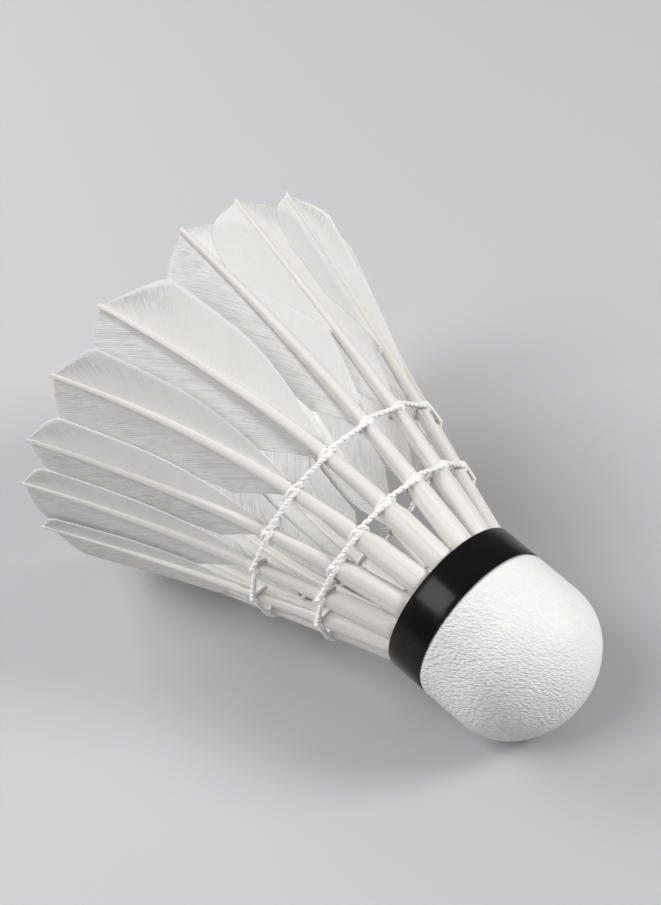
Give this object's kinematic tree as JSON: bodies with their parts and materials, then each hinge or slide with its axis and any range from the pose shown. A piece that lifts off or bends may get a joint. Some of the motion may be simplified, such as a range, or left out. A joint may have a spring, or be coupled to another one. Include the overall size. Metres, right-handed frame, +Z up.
{
  "type": "feather shuttlecock",
  "caption": "Badminton shuttlecock lying on its side: leather-covered cork base with a black rim tape and a flared skirt of overlapping swept feathers lashed by thread.",
  "frame": {"origin": "centre of the cork's top face, on the shuttlecock's own axis", "axes": "+X towards the nose and level, +Z up. The shuttlecock lies on its side: its own axis is in the XZ plane and dips towards the nose by 15.7 degrees."},
  "size_m": [0.0913, 0.0666, 0.0649],
  "materials": {
    "cork": "bare natural cork",
    "leather": "white, matt, pebbled grain",
    "tape": "black, glossy film",
    "quill": "ivory keratin, satin",
    "web": "white barbs, finely ribbed, slightly translucent",
    "thread": "white twisted thread, glued"
  },
  "bodies": {
    "root": {"cork_core": "cork", "leather_cover": "leather", "rim_tape": "tape", "thread_lower": "thread", "thread_upper": "thread", "quill_01": "quill", "quill_02": "quill", "quill_03": "quill", "quill_04": "quill", "quill_05": "quill", "quill_06": "quill", "quill_07": "quill", "quill_08": "quill", "quill_09": "quill", "quill_10": "quill", "quill_11": "quill", "quill_12": "quill", "quill_13": "quill", "quill_14": "quill", "quill_15": "quill", "quill_16": "quill", "vane_01": "web", "vane_02": "web", "vane_03": "web", "vane_04": "web", "vane_05": "web", "vane_06": "web", "vane_07": "web", "vane_08": "web", "vane_09": "web", "vane_10": "web", "vane_11": "web", "vane_12": "web", "vane_13": "web", "vane_14": "web", "vane_15": "web", "vane_16": "web"}
  },
  "joints": []
}
